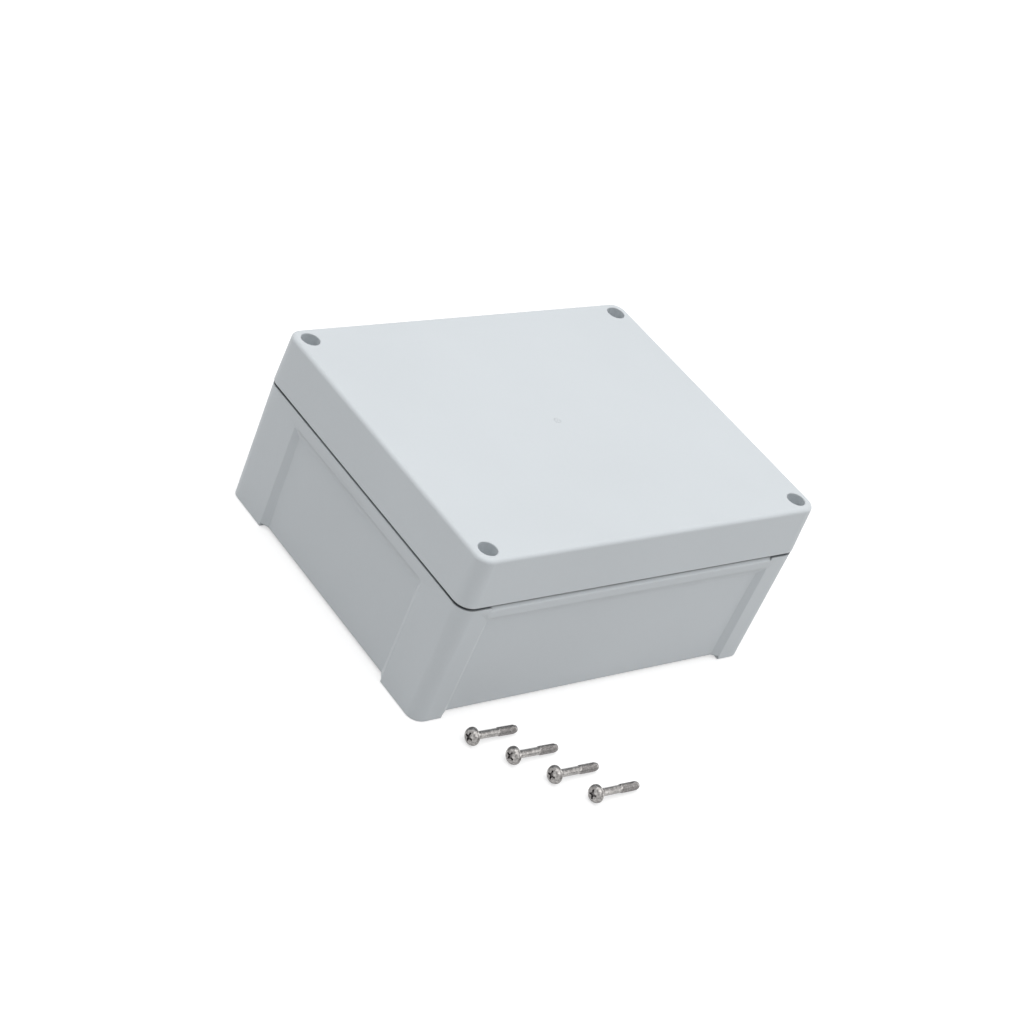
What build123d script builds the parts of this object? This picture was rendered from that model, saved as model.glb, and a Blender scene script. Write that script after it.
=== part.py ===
from build123d import *
from math import atan2, cos, radians, sin, tan
import os

# Plastic project box: a moulded tub on four corner feet, with a deep lid held by four
# screws in sunk wells. The frame stands on the floor: Z is up, X runs along the length,
# and the origin is the middle of the footprint. All sizes are in millimetres.

# Overall sizes
length = 240.0
width = 193.5
height = 109.5
base_height = 79.0
wall = 3.0

# Outside of the base
end_overhang = 0.4
rim_bevel = 2.2
seam_gap = 1.8
corner_drop = 0.7
base_draft = 0.75
base_corner_radius = 9.0
post_x = 19.8
post_y = 33.5
recess_depth = 2.8
recess_top_depth = 0.8
recess_rim = 9.5
ramp_length = 6.5
foot_height = 2.4
foot_edge = 0.5
foot_radius = 5.0

# Inside of the base
floor = 3.0
cavity_radius = 6.0
notch_radius = 7.0
pillar = 13.0
fixing_inset = 24.5
fixing_hole = 5.5
boss_diameter = 8.0
boss_height = 7.0
boss_pilot = 3.2
boss_spacing_x = 170.0
boss_spacing_y = 150.0

# Seal between base and lid
tongue_width = 1.5
tongue_height = 2.4
tongue_gap = 0.25
groove_lip = 1.2
gasket_height = 1.8
gasket_side_gap = 0.1
gasket_top_gap = 0.3

# Lid
lid_top = 3.5
lid_draft = 1.9
lid_corner_radius = 8.9
lid_edge_radius = 2.45
screw_inset = 10.4
well_diameter = 10.7
well_depth = 11.0
well_wall = 2.2
well_edge = 0.3
screw_hole = 5.3

# Threaded inserts
insert_diameter = 7.0
insert_length = 10.0
insert_recess = 0.5
insert_bore = 4.2

# Lid screws
screw_tip_room = 6.0
thread_diameter = 4.9
thread_length = 13.0
shank_diameter = 4.3
head_diameter = 9.85
head_height = 3.7
head_shoulder = 1.4

# Where the four loose screws lie beside the box
row_from_left = 25.8
row_from_front = 18.9
row_step_x = 14.7
row_step_y = 18.0
screw_heading = 1.5

os.makedirs("parts", exist_ok=True)

# Levels and insets that follow from the sizes above
floor_z = foot_height + floor
lid_height = height - base_height
recess_top_z = base_height - recess_rim
screw_length = height - well_depth - (base_height - insert_recess - insert_length)
groove_depth = tongue_height + gasket_top_gap + gasket_height
groove_z = base_height - groove_depth
ledge_z = base_height - seam_gap
base_length = length - 2 * end_overhang
base_inset = end_overhang + ledge_z * tan(radians(base_draft))
lid_inset = lid_height * tan(radians(lid_draft))
cavity_shrink = tongue_gap + groove_lip
seal_inset = base_inset + recess_depth + wall - cavity_shrink
seal_side = groove_lip + tongue_gap + tongue_width


def seal_outline(grow):
    """Outline of the sealed space, a rectangle with its corners notched out, grown all round."""
    with BuildSketch(mode=Mode.PRIVATE) as outline:
        RectangleRounded(
            length - 2 * seal_inset + 2 * grow,
            width - 2 * (post_y + seal_side) + 2 * grow,
            cavity_radius + grow,
        )
        RectangleRounded(
            length - 2 * (post_x + seal_side) + 2 * grow,
            width - 2 * seal_inset + 2 * grow,
            cavity_radius + grow,
        )
        notch_corners = outline.vertices().sort_by_distance((0, 0, 0))[:4]
        fillet(notch_corners, notch_radius - grow)
    return outline.sketch


def corner_pockets(wall_inset, pillar_size):
    """Chambers outside the seal, one in each corner, each bent round its screw pillar."""
    with BuildSketch(mode=Mode.PRIVATE) as pockets:
        with Locations((length / 2 - wall_inset, width / 2 - wall_inset)):
            Rectangle(post_x - wall_inset, post_y - wall_inset, align=(Align.MAX, Align.MAX))
        with Locations((length / 2, width / 2)):
            pillar_reach = 2 * screw_inset + pillar_size
            RectangleRounded(pillar_reach, pillar_reach, pillar_size / 2, mode=Mode.SUBTRACT)
        mirror(about=Plane.YZ)
        mirror(about=Plane.XZ)
    return pockets.sketch


def screw_places():
    """Centres of the four lid screws, in the plane that the caller has set."""
    return GridLocations(length - 2 * screw_inset, width - 2 * screw_inset, 2, 2)


# Base: tub with corner feet, sunk side panels, corner pockets, screw pillars and bosses
with BuildPart() as base:
    with BuildSketch(Plane.XY.offset(ledge_z)):
        RectangleRounded(base_length, width, base_corner_radius)
    extrude(amount=-ledge_z, taper=base_draft)

    # The rim of each long side is bevelled between the corner posts
    with BuildSketch(Plane.YZ):
        with BuildLine():
            Polyline(
                (width / 2 - rim_bevel, ledge_z),
                (width / 2 + rim_bevel, ledge_z),
                (width / 2 + rim_bevel, ledge_z - 2 * rim_bevel),
                close=True,
            )
        make_face()
        mirror(about=Plane.YZ)
    extrude(amount=length / 2 - post_x, both=True, mode=Mode.SUBTRACT)

    # The lid bears on a lip round the seal and on the four pillars, with an open seam outside
    with BuildSketch(Plane.XY.offset(ledge_z)):
        add(seal_outline(seal_side))
        with screw_places():
            Circle(pillar / 2)
    extrude(amount=seam_gap)

    # The seam opens wider round the corners
    with BuildSketch(Plane.XY.offset(ledge_z)):
        with GridLocations(length, width, 2, 2):
            Rectangle(2 * post_x, 2 * base_corner_radius)
        with screw_places():
            Circle(pillar / 2, mode=Mode.SUBTRACT)
        add(seal_outline(seal_side), mode=Mode.SUBTRACT)
    extrude(amount=-corner_drop, mode=Mode.SUBTRACT)

    # Each side panel is sunk between two corner posts, deepest at its foot
    for side in range(4):
        long_side = side % 2 == 0
        half_span = length / 2 - post_x if long_side else width / 2 - post_y
        turn = radians(90 * side)
        for level, depth in ((0, recess_depth), (recess_top_z, recess_top_depth)):
            face = (width if long_side else base_length) / 2 - (ledge_z - level) * tan(radians(base_draft))
            with BuildSketch(Plane(origin=(0, 0, level), x_dir=(cos(turn), sin(turn), 0), z_dir=(0, 0, 1))):
                with BuildLine():
                    Polyline(
                        (-half_span + ramp_length, depth - face),
                        (half_span - ramp_length, depth - face),
                        (half_span + ramp_length, -depth - face),
                        (-half_span - ramp_length, -depth - face),
                        close=True,
                    )
                make_face()
        loft(ruled=True, mode=Mode.SUBTRACT)

    # The underside is raised between the four feet
    with BuildSketch():
        Rectangle(length, width)
        with GridLocations(length, width, 2, 2):
            RectangleRounded(2 * post_x, 2 * post_y, foot_radius, mode=Mode.SUBTRACT)
    extrude(amount=foot_height, mode=Mode.SUBTRACT)
    chamfer(base.faces().sort_by(Axis.Z)[:4].edges(), foot_edge)

    # Inside: the sealed space, the corner pockets outside it, and the groove between them
    with BuildSketch(Plane.XY.offset(floor_z)):
        add(seal_outline(-cavity_shrink))
        add(corner_pockets(base_inset + wall, pillar))
    extrude(amount=base_height - floor_z, mode=Mode.SUBTRACT)
    with BuildSketch(Plane.XY.offset(groove_z)):
        add(seal_outline(tongue_width + tongue_gap))
        add(seal_outline(-tongue_gap), mode=Mode.SUBTRACT)
    extrude(amount=groove_depth, mode=Mode.SUBTRACT)

    # The corner pillars are bored for the inserts
    with Locations(Plane.XY.offset(base_height)):
        with screw_places():
            Hole(
                radius=insert_diameter / 2,
                depth=insert_recess + insert_length + screw_tip_room,
            )

    # Wall fixing holes go down through the feet, outside the seal
    with Locations(Plane.XY.offset(floor_z)):
        with GridLocations(length - 2 * screw_inset, width - 2 * fixing_inset, 2, 2):
            Hole(radius=fixing_hole / 2, depth=floor_z)

    # Bosses for a mounting plate
    with BuildSketch(Plane.XY.offset(floor_z)):
        with GridLocations(boss_spacing_x, boss_spacing_y, 2, 2):
            Circle(boss_diameter / 2)
            Circle(boss_pilot / 2, mode=Mode.SUBTRACT)
    extrude(amount=boss_height)

base.part.label = "base"
export_step(base.part, "parts/base.step")


# Lid: deep cover with a tongue for the seal and four screw wells
with BuildPart() as lid:
    with BuildSketch(Plane.XY.offset(base_height)):
        RectangleRounded(length, width, lid_corner_radius)
    extrude(amount=lid_height, taper=lid_draft)
    fillet(lid.faces().sort_by(Axis.Z)[-1].edges(), lid_edge_radius)

    with BuildSketch(Plane.XY.offset(base_height)):
        add(seal_outline(0))
        add(corner_pockets(lid_inset + wall, well_diameter + 2 * well_wall))
    extrude(amount=lid_height - lid_top, mode=Mode.SUBTRACT)
    with BuildSketch(Plane.XY.offset(base_height)):
        add(seal_outline(tongue_width))
        add(seal_outline(0), mode=Mode.SUBTRACT)
    extrude(amount=-tongue_height)

    with Locations(Plane.XY.offset(height)):
        with screw_places():
            CounterBoreHole(
                radius=screw_hole / 2,
                counter_bore_radius=well_diameter / 2,
                counter_bore_depth=well_depth,
                depth=lid_height,
            )
    well_mouths = lid.faces().sort_by(Axis.Z)[-1].edges().filter_by(GeomType.CIRCLE)
    chamfer(well_mouths, well_edge)

lid.part.label = "lid"
export_step(lid.part, "parts/lid.step")


# Gasket: soft ring in the groove of the base, under the tongue of the lid
with BuildPart() as gasket:
    with BuildSketch(Plane.XY.offset(groove_z)):
        add(seal_outline(tongue_width + tongue_gap - gasket_side_gap))
        add(seal_outline(gasket_side_gap - tongue_gap), mode=Mode.SUBTRACT)
    extrude(amount=gasket_height)

gasket.part.label = "gasket"
export_step(gasket.part, "parts/gasket.step")


# Threaded inserts: brass bushes pressed into the pillars, just below their tops
for number, place in enumerate(screw_places().locations, start=1):
    insert_top = Plane(origin=place.position + Vector(0, 0, base_height - insert_recess))
    with BuildPart() as threaded_insert:
        with BuildSketch(insert_top):
            Circle(insert_diameter / 2)
            Circle(insert_bore / 2, mode=Mode.SUBTRACT)
        extrude(amount=-insert_length)

    threaded_insert.part.label = f"threaded_insert_{number}"
    export_step(threaded_insert.part, f"parts/threaded_insert_{number}.step")


# Lid screws: pan heads, with a shank waisted to stay captive in the lid
with BuildPart() as lid_screw:
    with BuildSketch(Plane.XZ):
        with BuildLine():
            Polyline(
                (0, head_height),
                (0, -screw_length),
                (thread_diameter / 2, -screw_length),
                (thread_diameter / 2, thread_length - screw_length),
                (shank_diameter / 2, thread_length - screw_length),
                (shank_diameter / 2, 0),
                (head_diameter / 2, 0),
                (head_diameter / 2, head_height - head_shoulder),
                (head_diameter / 2 - head_shoulder, head_height),
                close=True,
            )
        make_face()
    revolve(axis=Axis.Z)

# Each one lies on the rim of its head and the end of its thread
dip = atan2((head_diameter - thread_diameter) / 2, screw_length)
heading = radians(screw_heading)
toward_head = Vector(-cos(dip) * cos(heading), -cos(dip) * sin(heading), sin(dip))
sideways = Vector(-sin(heading), cos(heading), 0)

for number in range(1, 5):
    head_under = Vector(
        row_from_left - length / 2 + row_step_x * (number - 1),
        -width / 2 - row_from_front - row_step_y * (number - 1),
        head_diameter / 2 * cos(dip),
    )
    resting = Plane(origin=head_under, x_dir=sideways, z_dir=toward_head)
    lying_screw = resting.location * lid_screw.part
    lying_screw.label = f"lid_screw_{number}"
    export_step(lying_screw, f"parts/lid_screw_{number}.step")
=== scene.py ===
from math import cos, pi, radians, sin, tan

import bmesh
import bpy
import numpy as np
from mathutils import Matrix, Vector


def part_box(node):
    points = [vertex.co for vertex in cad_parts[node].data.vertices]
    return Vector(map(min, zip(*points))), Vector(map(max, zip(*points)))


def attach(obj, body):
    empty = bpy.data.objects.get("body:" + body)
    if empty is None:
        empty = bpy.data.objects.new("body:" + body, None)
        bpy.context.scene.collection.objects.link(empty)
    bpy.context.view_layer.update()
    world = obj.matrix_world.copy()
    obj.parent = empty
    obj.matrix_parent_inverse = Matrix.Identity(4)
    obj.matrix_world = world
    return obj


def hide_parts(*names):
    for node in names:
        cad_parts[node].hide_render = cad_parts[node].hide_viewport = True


# Looks of the plastic project box: finish of every moulding, the base's sunk side panels,
# the loose lid screws in full detail, the gate mark on the lid, and a plain white studio.
# All in metres.

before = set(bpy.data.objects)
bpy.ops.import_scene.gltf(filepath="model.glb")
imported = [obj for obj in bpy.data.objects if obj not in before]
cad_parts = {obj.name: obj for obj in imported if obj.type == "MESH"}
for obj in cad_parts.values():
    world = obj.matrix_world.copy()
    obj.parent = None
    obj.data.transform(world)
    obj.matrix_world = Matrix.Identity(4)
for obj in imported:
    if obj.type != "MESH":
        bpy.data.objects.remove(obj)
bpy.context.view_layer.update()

# Camera of the photograph
CAMERA_PLACE = (-0.8883, -0.7578, 0.8056)
CAMERA_HEADING = radians(49.42)
CAMERA_DIP = radians(33.12)
CAMERA_ROLL = radians(24.04)
CAMERA_LENS = 88.7
SENSOR_WIDTH = 36.0

# Studio
FLOOR_SIZE = 6.0
FLOOR_DROP = 0.0001
FLOOR_COLOUR = (0.50, 0.50, 0.50)
FLOOR_GLOW = 0.60
SKY_LIGHT = 0.30

# Lamps: direction round the box from +X, height above the floor and spread in degrees, strength
LAMPS = {
    "key": (260.5, 83.9, 90, 2.45),
    "low_front_right": (325, 12, 50, 0.50),
    "low_back_left": (125, 12, 50, 0.52),
}

# Base: level of its ledge, the slope of its walls, and for each side in turn the wall's
# distance from the middle at the ledge and half the width of its sunk panel
LEDGE_LEVEL = 0.0772
BASE_LEAN = tan(radians(0.75))
PANEL_SIDES = ((0.09675, 0.1003), (0.1196, 0.06335)) * 2
PANEL_TOP = 0.0696
PANEL_DEPTH_LOW = 0.0029
PANEL_DEPTH_HIGH = 0.0024
PANEL_RUN = 1.5
PANEL_TOP_RUN = 2.2
PANEL_PAST = 0.002
CORNER_LEDGE = 0.0765
CORNER_LEDGE_SEEN = 0.0771

# Plastic
PLASTIC_COLOUR = (0.593, 0.630, 0.657)
# Lighter colour: specks in the grain, and the edges' painted highlight, partly wear
PLASTIC_LIGHTER = (0.66, 0.69, 0.71)
# Painted shade: dark colour laid into the seam between base and lid, where little light reaches
PAINTED_SEAM_SHADE_COLOUR = (0.12, 0.13, 0.14)
SEAM_REACH = 0.0040
SEAM_LEVEL = 0.0775
SEAM_HALF = 0.0025
PLASTIC_ROUGHNESS = 0.46
PLASTIC_EDGE = 0.0004
PANEL_EDGE = 0.0012

# Steel
STEEL_COLOUR = (0.50, 0.485, 0.47)
STEEL_DARK = (0.225, 0.215, 0.21)
# Painted shade: colours laid where little light reaches the screw, round the head, in its hollows and at its
# point
STEEL_SHADE = (0.17, 0.16, 0.16)
STEEL_HOLLOW_SHADE = (0.10, 0.09, 0.095)
# Lighter edge colour: painted highlight, partly wear
STEEL_WEAR_AND_SHEEN = (0.55, 0.54, 0.53)
STEEL_EDGE = 0.00015

# Screw, in its own frame: z = 0 under the head, and up to the head
HEAD_HEIGHT = 0.0037
HEAD_RADIUS = 0.004925
HEAD_SIDE = 0.0012
HEAD_STEP = 0.00015
HEAD_CROWN = 0.0003
SCREW_LENGTH = 0.030
SHANK_RADIUS = 0.00215
SHANK_LENGTH = 0.0165
THREAD_PITCH = 0.0008
THREAD_CREST = 0.00245
THREAD_ROOT = 0.00200
THREAD_END = 0.0294
POINT_RADIUS = 0.0019
POINT_EDGE = 0.0005
ROUND_STEPS = 48
ROWS_PER_PITCH = 12
CROSS_REACH = 0.0032
CROSS_WIDTH = 0.0014
CROSS_DEPTH = 0.0013
CROSS_FLOOR = 0.66
SCREW_TURNS = {1: 4, 2: -7, 3: 12, 4: 22}


def new_material(name):
    """An empty node material, with its tree and its Principled shader."""
    material = bpy.data.materials.new(name)
    material.use_nodes = True
    tree = material.node_tree
    return material, tree, tree.nodes["Principled BSDF"]


def add_node(tree, kind, inputs=None, **settings):
    """A node with its settings, and its inputs given as values or as other nodes' outputs."""
    made = tree.nodes.new(kind)
    for key, value in settings.items():
        setattr(made, key, value)
    for key, value in (inputs or {}).items():
        if isinstance(value, bpy.types.NodeSocket):
            tree.links.new(value, made.inputs[key])
        else:
            made.inputs[key].default_value = value
    return made


def noise(tree, place, scale, detail=2.0, roughness=0.5):
    """Value between 0 and 1 that wanders over the surface."""
    inputs = {"Vector": place, "Scale": scale, "Detail": detail, "Roughness": roughness}
    return add_node(tree, "ShaderNodeTexNoise", inputs).outputs["Fac"]


def stretch(tree, value, low, high, to_low=0.0, to_high=1.0):
    """The value, with the span from low to high spread over to_low to to_high."""
    inputs = {"Value": value, "From Min": low, "From Max": high, "To Min": to_low, "To Max": to_high}
    return add_node(tree, "ShaderNodeMapRange", inputs).outputs["Result"]


def mix_colours(tree, share, first, second):
    """The first colour, going over to the second as share rises from 0 to 1."""
    mixed = add_node(tree, "ShaderNodeMix", data_type="RGBA")
    for socket, value in ((mixed.inputs[0], share), (mixed.inputs[6], first), (mixed.inputs[7], second)):
        if isinstance(value, bpy.types.NodeSocket):
            tree.links.new(value, socket)
        else:
            socket.default_value = (*value, 1.0) if isinstance(value, tuple) else value
    return mixed.outputs[2]


def maths(tree, operation, first, second):
    """Result of one Math node."""
    return add_node(tree, "ShaderNodeMath", {0: first, 1: second}, operation=operation).outputs[0]


def edge_share(tree, radius, gain):
    """0 on open faces, rising to 1 on the outer and inner edges."""
    soft = add_node(tree, "ShaderNodeBevel", {"Radius": radius}, samples=6).outputs["Normal"]
    flat = add_node(tree, "ShaderNodeNewGeometry").outputs["Normal"]
    likeness = add_node(tree, "ShaderNodeVectorMath", {0: soft, 1: flat}, operation="DOT_PRODUCT")
    return stretch(tree, likeness.outputs["Value"], 1.0, 1.0 - 1.0 / gain)


def painted_seam_shade(tree, place):
    """Share of painted shade in the open seam between base and lid, less of it in the middle of the short ends.
    """
    seam = (0.0, 0.0, SEAM_LEVEL)
    offset = add_node(tree, "ShaderNodeVectorMath", {0: place, 1: seam}, operation="SUBTRACT").outputs[0]
    away = add_node(tree, "ShaderNodeVectorMath", {0: offset}, operation="ABSOLUTE").outputs[0]
    off = add_node(tree, "ShaderNodeSeparateXYZ", {"Vector": away}).outputs
    short_end = stretch(tree, off["X"], 0.110, 0.114)
    less_seam_shade = maths(tree, "MULTIPLY", short_end, stretch(tree, off["Y"], 0.050, 0.085, 0.45, 0.0))
    most = stretch(tree, less_seam_shade, 0.0, 1.0, 1.0, 0.0)
    in_seam = stretch(tree, off["Z"], SEAM_HALF, SEAM_HALF * 1.6, 1.0, 0.0)
    # Ambient occlusion: the painted shade is strongest where the seam is most enclosed
    near = add_node(tree, "ShaderNodeAmbientOcclusion", {"Distance": SEAM_REACH}, samples=5)
    enclosed = stretch(tree, near.outputs["AO"], 0.25, 0.95, 1.0, 0.0)
    return maths(tree, "MULTIPLY", enclosed, maths(tree, "MULTIPLY", in_seam, most))


def plastic_material(name, lightness, edge_radius):
    """Light grey moulding with a fine eroded grain, slow flow shades, edges lighter as a painted highlight that
    is partly wear, and painted shade in the seam.
    """
    material, tree, shader = new_material(name)
    place = add_node(tree, "ShaderNodeTexCoord").outputs["Object"]
    flow = stretch(tree, noise(tree, place, 9.0, 3.0), 0.3, 0.7)
    speck = stretch(tree, noise(tree, place, 700.0, 2.0), 0.35, 0.65)
    edge = edge_share(tree, edge_radius, 3.0)

    colour = tuple(lightness * c for c in PLASTIC_COLOUR)
    darker = tuple(0.965 * c for c in colour)
    shade = mix_colours(tree, flow, darker, colour)
    speckled = mix_colours(tree, stretch(tree, speck, 0.0, 1.0, 0.0, 0.10), shade, PLASTIC_LIGHTER)
    # Lighter edges: painted highlight along every edge, partly wear
    worn_and_highlit = mix_colours(tree, stretch(tree, edge, 0.0, 1.0, 0.0, 0.08), speckled, PLASTIC_LIGHTER)
    # Painted shade darkens the open seam between base and lid
    tree.links.new(mix_colours(tree, painted_seam_shade(tree, place), worn_and_highlit, PAINTED_SEAM_SHADE_COLOUR), shader.inputs["Base Color"])

    low, high = PLASTIC_ROUGHNESS - 0.04, PLASTIC_ROUGHNESS + 0.04
    tree.links.new(stretch(tree, speck, 0.0, 1.0, low, high), shader.inputs["Roughness"])

    rounded = add_node(tree, "ShaderNodeBevel", {"Radius": edge_radius}, samples=6).outputs["Normal"]
    grain = noise(tree, place, 2600.0, 2.0, 0.6)
    inputs = {"Height": grain, "Strength": 0.25, "Distance": 0.00006, "Normal": rounded}
    tree.links.new(add_node(tree, "ShaderNodeBump", inputs).outputs["Normal"], shader.inputs["Normal"])
    return material


def steel_material():
    """Plain stainless steel: grey, with drawn streaks along the screw, painted shade in the hollows, round the
    head and towards the point, and lighter edges as a painted highlight that is partly wear.
    """
    material, tree, shader = new_material("screw_steel")
    place = add_node(tree, "ShaderNodeTexCoord").outputs["Object"]
    along = {"Vector": place, "Scale": (1.0, 1.0, 0.12)}
    drawn = add_node(tree, "ShaderNodeMapping", along).outputs["Vector"]
    blotch = stretch(tree, noise(tree, place, 750.0, 3.0), 0.38, 0.62)
    streak = stretch(tree, noise(tree, drawn, 1400.0, 2.0), 0.35, 0.65)
    rings = add_node(tree, "ShaderNodeTexWave", {"Vector": place, "Scale": 420.0, "Distortion": 1.5},
                     bands_direction="Z").outputs["Fac"]
    near = add_node(tree, "ShaderNodeAmbientOcclusion", {"Distance": 0.0010}, samples=8).outputs["AO"]
    wide = add_node(tree, "ShaderNodeAmbientOcclusion", {"Distance": 0.0045}, samples=8).outputs["AO"]

    body = mix_colours(tree, blotch, STEEL_DARK, STEEL_COLOUR)
    streaky = mix_colours(tree, stretch(tree, streak, 0.0, 1.0, 0.0, 0.5), body, STEEL_DARK)
    # Painted shade round the head and shank, where other surfaces are close
    shaded = mix_colours(tree, stretch(tree, wide, 0.35, 0.9), STEEL_SHADE, streaky)
    # Painted shade in the cross recess and the thread roots
    hollow_shaded = mix_colours(tree, stretch(tree, near, 0.35, 0.85), STEEL_HOLLOW_SHADE, shaded)
    level = add_node(tree, "ShaderNodeSeparateXYZ", {"Vector": place}).outputs["Z"]
    # Painted shade: darker towards the screw's point
    point = stretch(tree, level, THREAD_PITCH - THREAD_END, 0.0004 - SCREW_LENGTH, 0.0, 0.7)
    point_shaded = mix_colours(tree, point, hollow_shaded, STEEL_HOLLOW_SHADE)
    edge = edge_share(tree, STEEL_EDGE, 3.0)
    # Lighter edges: painted highlight, partly wear
    worn_and_highlit = mix_colours(tree, stretch(tree, edge, 0.0, 1.0, 0.0, 0.35), point_shaded, STEEL_WEAR_AND_SHEEN)
    tree.links.new(worn_and_highlit, shader.inputs["Base Color"])
    shader.inputs["Metallic"].default_value = 1.0
    tree.links.new(stretch(tree, blotch, 0.0, 1.0, 0.28, 0.40), shader.inputs["Roughness"])
    fine = add_node(tree, "ShaderNodeBump", {"Height": streak, "Strength": 0.3, "Distance": 0.00003})
    turned = {"Height": rings, "Strength": 0.25, "Distance": 0.00008, "Normal": fine.outputs["Normal"]}
    tree.links.new(add_node(tree, "ShaderNodeBump", turned).outputs["Normal"], shader.inputs["Normal"])
    return material


def rubber_material():
    """Soft black sponge ring with open cells."""
    material, tree, shader = new_material("gasket_rubber")
    place = add_node(tree, "ShaderNodeTexCoord").outputs["Object"]
    cells = add_node(tree, "ShaderNodeTexVoronoi", {"Vector": place, "Scale": 1800.0}).outputs["Distance"]
    cloud = stretch(tree, noise(tree, place, 60.0, 3.0), 0.3, 0.7)
    tree.links.new(mix_colours(tree, cloud, (0.018, 0.018, 0.018), (0.040, 0.040, 0.041)),
                   shader.inputs["Base Color"])
    tree.links.new(stretch(tree, cells, 0.0, 0.6, 0.72, 0.90), shader.inputs["Roughness"])
    inputs = {"Height": cells, "Strength": 0.5, "Distance": 0.0001}
    tree.links.new(add_node(tree, "ShaderNodeBump", inputs).outputs["Normal"], shader.inputs["Normal"])
    return material


def brass_material():
    """Turned brass with fine rings about each insert's own axis."""
    material, tree, shader = new_material("insert_brass")
    place = add_node(tree, "ShaderNodeTexCoord").outputs["Object"]
    cloud = stretch(tree, noise(tree, place, 300.0, 3.0), 0.3, 0.7)
    turned = add_node(tree, "ShaderNodeTexWave", {"Vector": place, "Scale": 1600.0, "Distortion": 0.6},
                      bands_direction="Z").outputs["Fac"]
    tree.links.new(mix_colours(tree, cloud, (0.52, 0.37, 0.14), (0.68, 0.51, 0.22)),
                   shader.inputs["Base Color"])
    shader.inputs["Metallic"].default_value = 1.0
    tree.links.new(stretch(tree, cloud, 0.0, 1.0, 0.25, 0.38), shader.inputs["Roughness"])
    inputs = {"Height": turned, "Strength": 0.15, "Distance": 0.00002}
    tree.links.new(add_node(tree, "ShaderNodeBump", inputs).outputs["Normal"], shader.inputs["Normal"])
    return material


def dress(node, material):
    """Gives a CAD node its material."""
    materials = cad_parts[node].data.materials
    materials.clear()
    materials.append(material)


def new_piece(name, mesh, material, body, place=Matrix.Identity(4)):
    """A new object that rides on a CAD body."""
    piece = bpy.data.objects.new(name, mesh)
    bpy.context.scene.collection.objects.link(piece)
    piece.matrix_world = place
    mesh.materials.clear()
    mesh.materials.append(material)
    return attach(piece, body)


def turned_mesh(name, rows, steps):
    """Closed turned solid. Each row is (z, radius as a function of the angle), from end to end."""
    form = bmesh.new()
    rings = []
    for z, radius_at in rows:
        angles = [2 * pi * step / steps for step in range(steps)]
        ring = [(radius_at(a) * cos(a), radius_at(a) * sin(a), z) for a in angles]
        rings.append([form.verts.new(point) for point in ring])
    for lower, upper in zip(rings, rings[1:]):
        for step in range(steps):
            after = (step + 1) % steps
            form.faces.new((lower[step], lower[after], upper[after], upper[step]))
    form.faces.new(reversed(rings[0]))
    form.faces.new(rings[-1])
    bmesh.ops.recalc_face_normals(form, faces=form.faces)
    for face in form.faces:
        face.smooth = True
    mesh = bpy.data.meshes.new(name)
    form.to_mesh(mesh)
    form.free()
    return mesh


def thread_radius(z):
    """Radius round the screw at one height in its thread, which runs out at both ends."""
    depth = -z
    run_in = min(1.0, (depth - SHANK_LENGTH) / THREAD_PITCH, (THREAD_END - depth) / (2 * THREAD_PITCH))
    height = (THREAD_CREST - THREAD_ROOT) * max(0.0, run_in)

    def radius_at(angle):
        share = (z / THREAD_PITCH - angle / (2 * pi)) % 1.0
        ridge = min(1.0, max(0.0, 1.4 - 2.8 * abs(share - 0.5)))
        return THREAD_ROOT + height * ridge

    return radius_at


def plain_ring(radius):
    """The same radius at every angle."""
    return lambda angle: radius


def screw_rows():
    """Rows of the screw from its point to the top of its head."""
    rows = [
        (-SCREW_LENGTH, plain_ring(POINT_RADIUS - POINT_EDGE)),
        (POINT_EDGE - SCREW_LENGTH, plain_ring(POINT_RADIUS)),
        (-THREAD_END - THREAD_PITCH / 4, plain_ring(POINT_RADIUS)),
    ]
    count = round((THREAD_END - SHANK_LENGTH) / THREAD_PITCH * ROWS_PER_PITCH)
    for row in range(count + 1):
        z = -THREAD_END + row * THREAD_PITCH / ROWS_PER_PITCH
        rows.append((z, thread_radius(z)))
    rows.append((THREAD_PITCH / 2 - SHANK_LENGTH, plain_ring(SHANK_RADIUS)))

    # Shank with a small fillet under the head
    fillet = 0.0003
    for step in range(4):
        turn = pi / 2 * step / 3
        rows.append((-fillet * (1 - sin(turn)), plain_ring(SHANK_RADIUS + fillet * (1 - cos(turn)))))

    # Pan head: short side, round shoulder, nearly flat crown
    under_edge = 0.0002
    rows.append((0.0, plain_ring(HEAD_RADIUS - under_edge)))
    rows.append((under_edge, plain_ring(HEAD_RADIUS)))
    rows.append((HEAD_SIDE, plain_ring(HEAD_RADIUS)))
    rise = HEAD_HEIGHT - HEAD_CROWN - HEAD_SIDE
    shoulder = HEAD_RADIUS - HEAD_STEP
    shoulder_steps = 10
    for step in range(shoulder_steps + 1):
        turn = pi / 2 * step / shoulder_steps
        rows.append((HEAD_SIDE + rise * sin(turn), plain_ring(shoulder - rise * (1 - cos(turn)))))
    crown = shoulder - rise
    for share in (0.75, 0.5, 0.25, 0.05):
        rows.append((HEAD_HEIGHT - HEAD_CROWN * share ** 2, plain_ring(crown * share)))
    return rows


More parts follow.
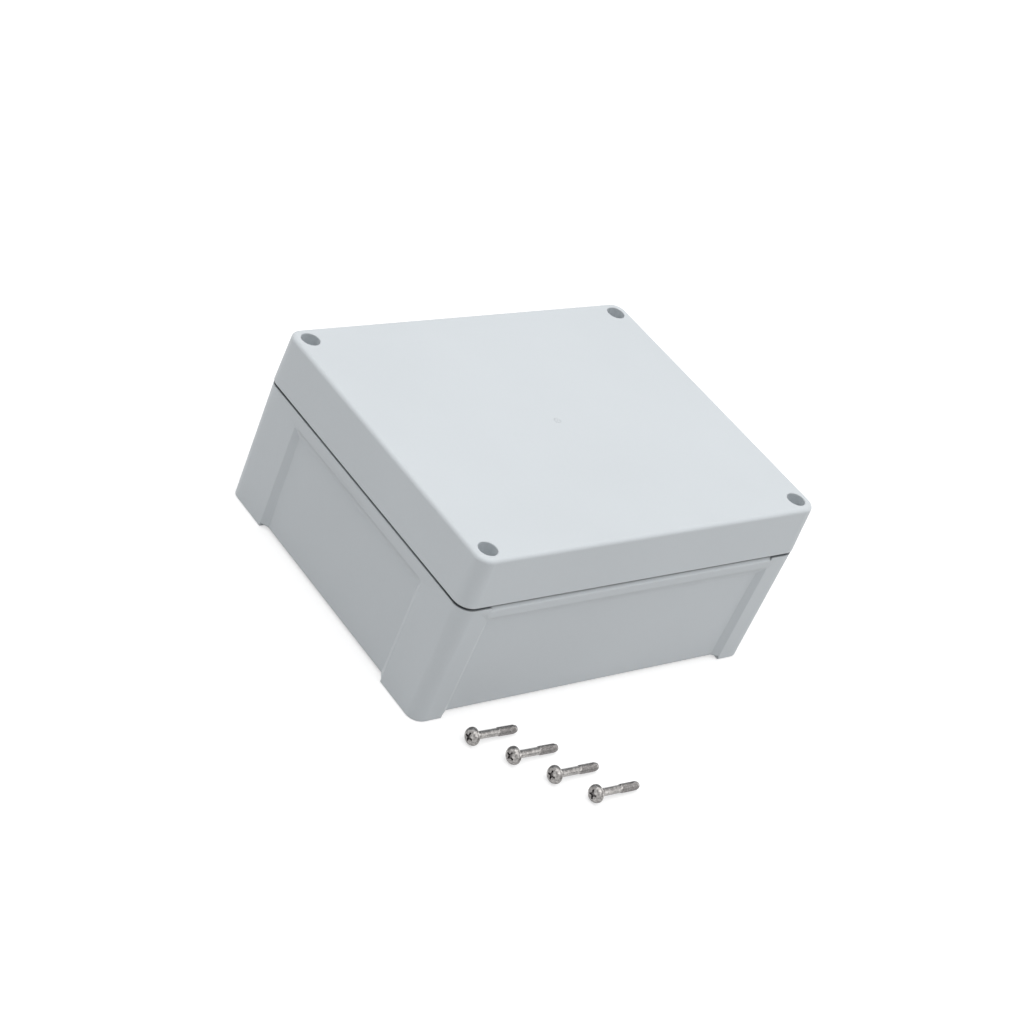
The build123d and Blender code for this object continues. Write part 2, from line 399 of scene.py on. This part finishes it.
def cross_mesh():
    """Tapered cross with chamfered inner corners, as large as the recess in a screw head."""
    outline = []
    half, inner = CROSS_WIDTH / 2, CROSS_WIDTH * 0.75
    for quarter in range(4):
        turn = Matrix.Rotation(pi / 2 * quarter, 2)
        corner = ((CROSS_REACH, -half), (CROSS_REACH, half), (inner + half / 2, half), (half, inner + half / 2))
        outline.extend(turn @ Vector(point) for point in corner)
    form = bmesh.new()
    above = HEAD_HEIGHT * 1.3
    floor = HEAD_HEIGHT - CROSS_DEPTH
    rings = []
    for z, share in ((above, 1.1), (floor, CROSS_FLOOR)):
        rings.append([form.verts.new((p.x * share, p.y * share, z)) for p in outline])
    tip = form.verts.new((0, 0, floor - CROSS_DEPTH * 0.15))
    for step in range(len(outline)):
        after = (step + 1) % len(outline)
        form.faces.new((rings[0][step], rings[0][after], rings[1][after], rings[1][step]))
        form.faces.new((rings[1][step], rings[1][after], tip))
    form.faces.new(rings[0])
    bmesh.ops.recalc_face_normals(form, faces=form.faces)
    mesh = bpy.data.meshes.new("cross")
    form.to_mesh(mesh)
    form.free()
    return mesh


def cut_away(mesh, cutter_mesh):
    """The mesh with the cutter taken out of it."""
    solid = bpy.data.objects.new("solid", mesh)
    cutter = bpy.data.objects.new("cutter", cutter_mesh)
    for part in (solid, cutter):
        bpy.context.scene.collection.objects.link(part)
    cut = solid.modifiers.new("cut", "BOOLEAN")
    cut.object = cutter
    cut.solver = "EXACT"
    graph = bpy.context.evaluated_depsgraph_get()
    result = bpy.data.meshes.new_from_object(solid.evaluated_get(graph), depsgraph=graph)
    for part in (solid, cutter):
        bpy.data.objects.remove(part)
    return result


def panel_mesh(half, half_width, turn):
    """The room in front of a sunk side panel, with its ramps at the sides and the top."""
    foot = -0.001
    rows = (
        (foot, PANEL_DEPTH_LOW),
        (PANEL_TOP - PANEL_TOP_RUN * PANEL_DEPTH_HIGH, PANEL_DEPTH_HIGH),
        (foot, -PANEL_PAST),
        (PANEL_TOP + PANEL_TOP_RUN * PANEL_PAST, -PANEL_PAST),
    )
    form = bmesh.new()
    for z, depth in rows:
        out = half - (LEDGE_LEVEL - z) * BASE_LEAN - depth
        for side in (-1, 1):
            point = Vector((side * (half_width - PANEL_RUN * depth), -out, z))
            form.verts.new(Matrix.Rotation(turn, 3, "Z") @ point)
    bmesh.ops.convex_hull(form, input=form.verts)
    bmesh.ops.recalc_face_normals(form, faces=form.faces)
    mesh = bpy.data.meshes.new("panel")
    form.to_mesh(mesh)
    form.free()
    return mesh


def add_base_shell(material):
    """The base with its side panels sunk behind steep ramps, and a closer seam round its corners."""
    form = bmesh.new()
    form.from_mesh(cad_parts["base"].data)
    bmesh.ops.remove_doubles(form, verts=form.verts, dist=1e-6)
    for vertex in form.verts:
        if abs(vertex.co.z - CORNER_LEDGE) < 1e-5:
            vertex.co.z = CORNER_LEDGE_SEEN
    form.verts.index_update()
    mesh = bpy.data.meshes.new("base_shell_mesh")
    faces = [[v.index for v in f.verts] for f in form.faces]
    mesh.from_pydata([v.co.copy() for v in form.verts], [], faces)
    form.free()
    for side, (half, half_width) in enumerate(PANEL_SIDES):
        mesh = cut_away(mesh, panel_mesh(half, half_width, pi / 2 * side))
    mesh.name = "base_shell_mesh"
    mesh.shade_smooth()
    mesh.set_sharp_from_angle(angle=radians(30))
    piece = new_piece("base_shell", mesh, material, "root")
    even = piece.modifiers.new("even", "WEIGHTED_NORMAL")
    even.keep_sharp = True
    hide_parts("base")


def screw_place(node):
    """Frame of a CAD screw, read from its own points: z along its axis, towards the head."""
    points = np.array([v.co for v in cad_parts[node].data.vertices])
    points = np.unique(points.round(6), axis=0)
    middle = points.mean(axis=0)
    axis = np.linalg.svd(points - middle)[2][0]
    along = (points - middle) @ axis
    out = np.linalg.norm(points - middle - np.outer(along, axis), axis=1)
    if along[out.argmax()] < 0:
        axis, along = -axis, -along
    under_head = middle + axis * (along.max() - HEAD_HEIGHT)
    up = Vector(axis).normalized()
    side = up.cross(Vector((0, 0, 1))).normalized()
    turned = Matrix((side, up.cross(side), up)).transposed().to_4x4()
    return Matrix.Translation(under_head) @ turned


def add_screws(material):
    """The four lid screws with thread, waisted shank, pan head and cross recess."""
    mesh = cut_away(turned_mesh("lid_screw_mesh", screw_rows(), ROUND_STEPS), cross_mesh())
    mesh.name = "lid_screw_mesh"
    mesh.set_sharp_from_angle(angle=radians(35))
    for number, turn in SCREW_TURNS.items():
        node = f"lid_screw_{number}"
        place = screw_place(node) @ Matrix.Rotation(radians(turn), 4, "Z")
        piece = new_piece(f"screw_{number}", mesh, material, "root", place)
        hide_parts(node)


def add_gate_mark(material):
    """Faint raised ring with a nub, where the plastic was fed into the lid's mould."""
    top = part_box("lid")[1].z
    ring, lip, nub = 0.0021, 0.0003, 0.0005
    rows = [
        (-0.0002, plain_ring(ring)),
        (0.00004, plain_ring(ring)),
        (0.00010, plain_ring(ring - lip)),
        (0.00002, plain_ring(ring - 2 * lip)),
        (0.00002, plain_ring(nub * 1.6)),
        (0.00018, plain_ring(nub)),
        (0.00020, plain_ring(nub * 0.4)),
    ]
    mesh = turned_mesh("gate_mark_mesh", rows, ROUND_STEPS)
    new_piece("gate_mark", mesh, material, "lid_body", Matrix.Translation((0, 0, top)))


def seen_share(tree):
    """1 where the camera looks, straight on or by way of a reflection or a glass, and 0 elsewhere."""
    rays = add_node(tree, "ShaderNodeLightPath").outputs
    seen = maths(tree, "MAXIMUM", rays["Is Camera Ray"], rays["Is Glossy Ray"])
    return maths(tree, "MAXIMUM", seen, rays["Is Transmission Ray"])


def add_floor():
    """Plain floor, lifted to white where it is seen, with a soft shadow."""
    half = FLOOR_SIZE / 2
    mesh = bpy.data.meshes.new("floor")
    corners = [(x * half, y * half, -FLOOR_DROP) for x, y in ((-1, -1), (1, -1), (1, 1), (-1, 1))]
    mesh.from_pydata(corners, [], [(0, 1, 2, 3)])
    floor = bpy.data.objects.new("floor", mesh)
    bpy.context.scene.collection.objects.link(floor)
    material, tree, shader = new_material("floor_white")
    shader.inputs["Base Color"].default_value = (*FLOOR_COLOUR, 1.0)
    shader.inputs["Roughness"].default_value = 0.9
    shader.inputs["Specular IOR Level"].default_value = 0.0
    shader.inputs["Emission Color"].default_value = (1.0, 1.0, 1.0, 1.0)
    glow = stretch(tree, seen_share(tree), 0.0, 1.0, 0.0, FLOOR_GLOW)
    tree.links.new(glow, shader.inputs["Emission Strength"])
    mesh.materials.append(material)


def add_world():
    """Soft even sky, which shows as white to the camera and in reflections."""
    world = bpy.data.worlds.new("studio")
    world.use_nodes = True
    bpy.context.scene.world = world
    tree = world.node_tree
    background = tree.nodes["Background"]
    background.inputs["Color"].default_value = (1.0, 1.0, 1.0, 1.0)
    strength = stretch(tree, seen_share(tree), 0.0, 1.0, SKY_LIGHT, 1.0)
    tree.links.new(strength, background.inputs["Strength"])


def add_lamps():
    """A broad lamp above, and two weak low ones that leave the nearest corner a little darker."""
    for name, (heading, rise, spread, strength) in LAMPS.items():
        data = bpy.data.lights.new(name, "SUN")
        data.energy = strength
        data.angle = radians(spread)
        lamp = bpy.data.objects.new(name, data)
        bpy.context.scene.collection.objects.link(lamp)
        lamp.rotation_euler = (0, radians(90 - rise), radians(heading))


def add_camera():
    """Camera at the photograph's place, direction and roll."""
    data = bpy.data.cameras.new("camera")
    data.lens = CAMERA_LENS
    data.sensor_width = SENSOR_WIDTH
    camera = bpy.data.objects.new("camera", data)
    bpy.context.scene.collection.objects.link(camera)
    heading = Matrix.Rotation(-CAMERA_HEADING, 4, "Z")
    dip = Matrix.Rotation(pi / 2 - CAMERA_DIP, 4, "X")
    roll = Matrix.Rotation(CAMERA_ROLL, 4, "Z")
    camera.matrix_world = Matrix.Translation(CAMERA_PLACE) @ heading @ dip @ roll
    bpy.context.scene.camera = camera


plastic = plastic_material("moulded_plastic", 1.0, PLASTIC_EDGE)
for node in ("base", "lid"):
    dress(node, plastic)
dress("gasket", rubber_material())
brass = brass_material()
for number in range(1, 5):
    dress(f"threaded_insert_{number}", brass)

add_base_shell(plastic_material("panel_plastic", 1.0, PANEL_EDGE))

steel = steel_material()
add_screws(steel)
for number in SCREW_TURNS:
    dress(f"lid_screw_{number}", steel)
add_gate_mark(plastic_material("gate_plastic", 0.93, PLASTIC_EDGE))

add_floor()
add_world()
add_lamps()
add_camera()
bpy.context.scene.view_settings.view_transform = "Standard"
